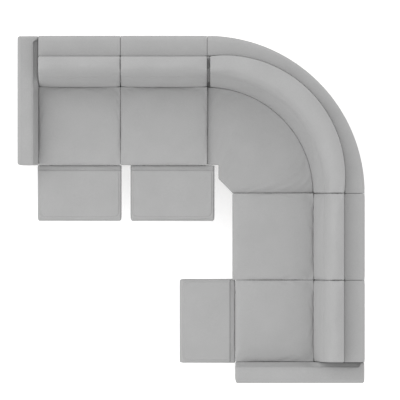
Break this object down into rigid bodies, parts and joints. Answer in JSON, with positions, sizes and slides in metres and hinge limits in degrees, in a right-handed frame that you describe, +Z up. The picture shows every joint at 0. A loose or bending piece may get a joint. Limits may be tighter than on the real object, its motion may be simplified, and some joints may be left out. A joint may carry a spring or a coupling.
{
  "type": "reclining sectional sofa",
  "caption": "L-shaped upholstered sectional sofa with a curved corner, padded arms, reclining backs and footrests on folding linkages.",
  "frame": {"origin": "on the floor, at the middle of the bounding box of the whole sofa with its footrests out", "axes": "+Z up, +Y from the first leg's seats to their backs, +X from the second leg's seats to their backs"},
  "size_m": [2.64, 2.64, 0.945],
  "materials": {
    "upholstery": "neutral grey woven upholstery fabric over soft filling",
    "back_board": "board shell covered in neutral grey woven fabric",
    "frame_wood": "plain plywood",
    "foot_wood": "dark stained wood",
    "steel": "satin black painted steel",
    "motor_plastic": "matt black plastic",
    "switch_plastic": "matt dark grey plastic"
  },
  "bodies": {
    "frame": {"corner_back_cushion": "upholstery", "corner_back_shell": "back_board", "corner_base": "frame_wood", "corner_seat_cushion": "upholstery", "feet": "foot_wood", "joining_plates": "steel", "left_arm_cover": "upholstery", "left_arm_frame": "frame_wood", "right_arm_cover": "upholstery", "right_arm_frame": "frame_wood", "seat_1_base": "frame_wood", "seat_1_motor": "motor_plastic", "seat_1_seat_cushion": "upholstery", "seat_1_side_plates": "steel", "seat_1_switch_bezel": "switch_plastic", "seat_2_base": "frame_wood", "seat_2_motor": "motor_plastic", "seat_2_seat_cushion": "upholstery", "seat_2_side_plates": "steel", "seat_2_switch_bezel": "switch_plastic", "seat_3_back_cushion": "upholstery", "seat_3_back_shell": "back_board", "seat_3_base": "frame_wood", "seat_3_seat_cushion": "upholstery", "seat_4_base": "frame_wood", "seat_4_motor": "motor_plastic", "seat_4_seat_cushion": "upholstery", "seat_4_side_plates": "steel", "seat_4_switch_bezel": "switch_plastic"},
    "seat_1_drive": {"seat_1_drive_shaft": "steel"},
    "seat_1_swing": {"seat_1_swing_arms": "steel"},
    "seat_1_carrier": {"seat_1_carrier_links": "steel"},
    "seat_1_flip": {"seat_1_flip_links": "steel"},
    "seat_1_footrest": {"seat_1_footrest_pan": "steel", "seat_1_footrest_pad": "upholstery"},
    "seat_1_rod": {"seat_1_push_rod": "steel"},
    "seat_1_back": {"seat_1_back_shell": "back_board", "seat_1_back_cushion": "upholstery"},
    "seat_1_rocker": {"seat_1_switch_rocker": "switch_plastic"},
    "seat_2_drive": {"seat_2_drive_shaft": "steel"},
    "seat_2_swing": {"seat_2_swing_arms": "steel"},
    "seat_2_carrier": {"seat_2_carrier_links": "steel"},
    "seat_2_flip": {"seat_2_flip_links": "steel"},
    "seat_2_footrest": {"seat_2_footrest_pan": "steel", "seat_2_footrest_pad": "upholstery"},
    "seat_2_rod": {"seat_2_push_rod": "steel"},
    "seat_2_back": {"seat_2_back_shell": "back_board", "seat_2_back_cushion": "upholstery"},
    "seat_2_rocker": {"seat_2_switch_rocker": "switch_plastic"},
    "seat_4_drive": {"seat_4_drive_shaft": "steel"},
    "seat_4_swing": {"seat_4_swing_arms": "steel"},
    "seat_4_carrier": {"seat_4_carrier_links": "steel"},
    "seat_4_flip": {"seat_4_flip_links": "steel"},
    "seat_4_footrest": {"seat_4_footrest_pan": "steel", "seat_4_footrest_pad": "upholstery"},
    "seat_4_rod": {"seat_4_push_rod": "steel"},
    "seat_4_back": {"seat_4_back_shell": "back_board", "seat_4_back_cushion": "upholstery"},
    "seat_4_rocker": {"seat_4_switch_rocker": "switch_plastic"}
  },
  "joints": [
    {"name": "seat_1_footrest_drive", "type": "hinge", "parent": "frame", "child": "seat_1_drive", "pos_m": [-0.84825, 0.414, 0.114], "axis": [-1, 0, 0], "range_deg": [0, 80]},
    {"name": "seat_1_swing_pivot", "type": "hinge", "parent": "frame", "child": "seat_1_swing", "pos_m": [-0.84825, 0.46, 0.133], "axis": [-1, 0, 0], "range_deg": [0, 80]},
    {"name": "seat_1_carrier_pivot", "type": "hinge", "parent": "seat_1_drive", "child": "seat_1_carrier", "pos_m": [-0.84825, 0.283, 0.187], "axis": [-1, 0, 0], "range_deg": [-80, 0]},
    {"name": "seat_1_flip_pivot", "type": "hinge", "parent": "seat_1_drive", "child": "seat_1_flip", "pos_m": [-0.84825, 0.348, 0.165], "axis": [-1, 0, 0], "range_deg": [-38.2, 0]},
    {"name": "seat_1_footrest_pivot", "type": "hinge", "parent": "seat_1_carrier", "child": "seat_1_footrest", "pos_m": [-0.84825, 0.227, 0.282], "axis": [-1, 0, 0], "range_deg": [-90, 0]},
    {"name": "seat_1_rod_slide", "type": "slide", "parent": "frame", "child": "seat_1_rod", "axis": [0, 1, 0], "range_m": [0, 0.07071]},
    {"name": "seat_1_recline", "type": "hinge", "parent": "frame", "child": "seat_1_back", "pos_m": [-0.84825, 1.19, 0.3], "axis": [-1, 0, 0], "range_deg": [0, 24]},
    {"name": "seat_1_switch", "type": "hinge", "parent": "frame", "child": "seat_1_rocker", "pos_m": [-1.311, 0.49, 0.5], "axis": [0, 1, 0], "range_deg": [-6, 6], "stiffness_Nm_per_rad": 0.3},
    {"name": "seat_2_footrest_drive", "type": "hinge", "parent": "frame", "child": "seat_2_drive", "pos_m": [-0.14025, 0.414, 0.114], "axis": [-1, 0, 0], "range_deg": [0, 80]},
    {"name": "seat_2_swing_pivot", "type": "hinge", "parent": "frame", "child": "seat_2_swing", "pos_m": [-0.14025, 0.46, 0.133], "axis": [-1, 0, 0], "range_deg": [0, 80]},
    {"name": "seat_2_carrier_pivot", "type": "hinge", "parent": "seat_2_drive", "child": "seat_2_carrier", "pos_m": [-0.14025, 0.283, 0.187], "axis": [-1, 0, 0], "range_deg": [-80, 0]},
    {"name": "seat_2_flip_pivot", "type": "hinge", "parent": "seat_2_drive", "child": "seat_2_flip", "pos_m": [-0.14025, 0.348, 0.165], "axis": [-1, 0, 0], "range_deg": [-38.2, 0]},
    {"name": "seat_2_footrest_pivot", "type": "hinge", "parent": "seat_2_carrier", "child": "seat_2_footrest", "pos_m": [-0.14025, 0.227, 0.282], "axis": [-1, 0, 0], "range_deg": [-90, 0]},
    {"name": "seat_2_rod_slide", "type": "slide", "parent": "frame", "child": "seat_2_rod", "axis": [0, 1, 0], "range_m": [0, 0.07071]},
    {"name": "seat_2_recline", "type": "hinge", "parent": "frame", "child": "seat_2_back", "pos_m": [-0.14025, 1.19, 0.3], "axis": [-1, 0, 0], "range_deg": [0, 24]},
    {"name": "seat_2_switch", "type": "hinge", "parent": "frame", "child": "seat_2_rocker", "pos_m": [-0.4945, 0.352, 0.31], "axis": [1, 0, 0], "range_deg": [-6, 6], "stiffness_Nm_per_rad": 0.3},
    {"name": "seat_4_footrest_drive", "type": "hinge", "parent": "frame", "child": "seat_4_drive", "pos_m": [0.414, -0.84825, 0.114], "axis": [0, 1, 0], "range_deg": [0, 80]},
    {"name": "seat_4_swing_pivot", "type": "hinge", "parent": "frame", "child": "seat_4_swing", "pos_m": [0.46, -0.84825, 0.133], "axis": [0, 1, 0], "range_deg": [0, 80]},
    {"name": "seat_4_carrier_pivot", "type": "hinge", "parent": "seat_4_drive", "child": "seat_4_carrier", "pos_m": [0.283, -0.84825, 0.187], "axis": [0, 1, 0], "range_deg": [-80, 0]},
    {"name": "seat_4_flip_pivot", "type": "hinge", "parent": "seat_4_drive", "child": "seat_4_flip", "pos_m": [0.348, -0.84825, 0.165], "axis": [0, 1, 0], "range_deg": [-38.2, 0]},
    {"name": "seat_4_footrest_pivot", "type": "hinge", "parent": "seat_4_carrier", "child": "seat_4_footrest", "pos_m": [0.227, -0.84825, 0.282], "axis": [0, 1, 0], "range_deg": [-90, 0]},
    {"name": "seat_4_rod_slide", "type": "slide", "parent": "frame", "child": "seat_4_rod", "axis": [1, 0, 0], "range_m": [0, 0.07071]},
    {"name": "seat_4_recline", "type": "hinge", "parent": "frame", "child": "seat_4_back", "pos_m": [1.19, -0.84825, 0.3], "axis": [0, 1, 0], "range_deg": [0, 24]},
    {"name": "seat_4_switch", "type": "hinge", "parent": "frame", "child": "seat_4_rocker", "pos_m": [0.49, -1.311, 0.5], "axis": [1, 0, 0], "range_deg": [-6, 6], "stiffness_Nm_per_rad": 0.3}
  ],
  "couplings": [
    {"joint": "seat_1_swing_pivot", "follows": "seat_1_footrest_drive", "ratio": 1},
    {"joint": "seat_1_carrier_pivot", "follows": "seat_1_footrest_drive", "ratio": -1},
    {"joint": "seat_1_flip_pivot", "follows": "seat_1_footrest_drive", "ratio": -0.4775},
    {"joint": "seat_1_footrest_pivot", "follows": "seat_1_footrest_drive", "ratio": -1.125},
    {"joint": "seat_1_rod_slide", "follows": "seat_1_footrest_drive", "m_per_rad": 0.05064},
    {"joint": "seat_2_swing_pivot", "follows": "seat_2_footrest_drive", "ratio": 1},
    {"joint": "seat_2_carrier_pivot", "follows": "seat_2_footrest_drive", "ratio": -1},
    {"joint": "seat_2_flip_pivot", "follows": "seat_2_footrest_drive", "ratio": -0.4775},
    {"joint": "seat_2_footrest_pivot", "follows": "seat_2_footrest_drive", "ratio": -1.125},
    {"joint": "seat_2_rod_slide", "follows": "seat_2_footrest_drive", "m_per_rad": 0.05064},
    {"joint": "seat_4_swing_pivot", "follows": "seat_4_footrest_drive", "ratio": 1},
    {"joint": "seat_4_carrier_pivot", "follows": "seat_4_footrest_drive", "ratio": -1},
    {"joint": "seat_4_flip_pivot", "follows": "seat_4_footrest_drive", "ratio": -0.4775},
    {"joint": "seat_4_footrest_pivot", "follows": "seat_4_footrest_drive", "ratio": -1.125},
    {"joint": "seat_4_rod_slide", "follows": "seat_4_footrest_drive", "m_per_rad": 0.05064}
  ]
}
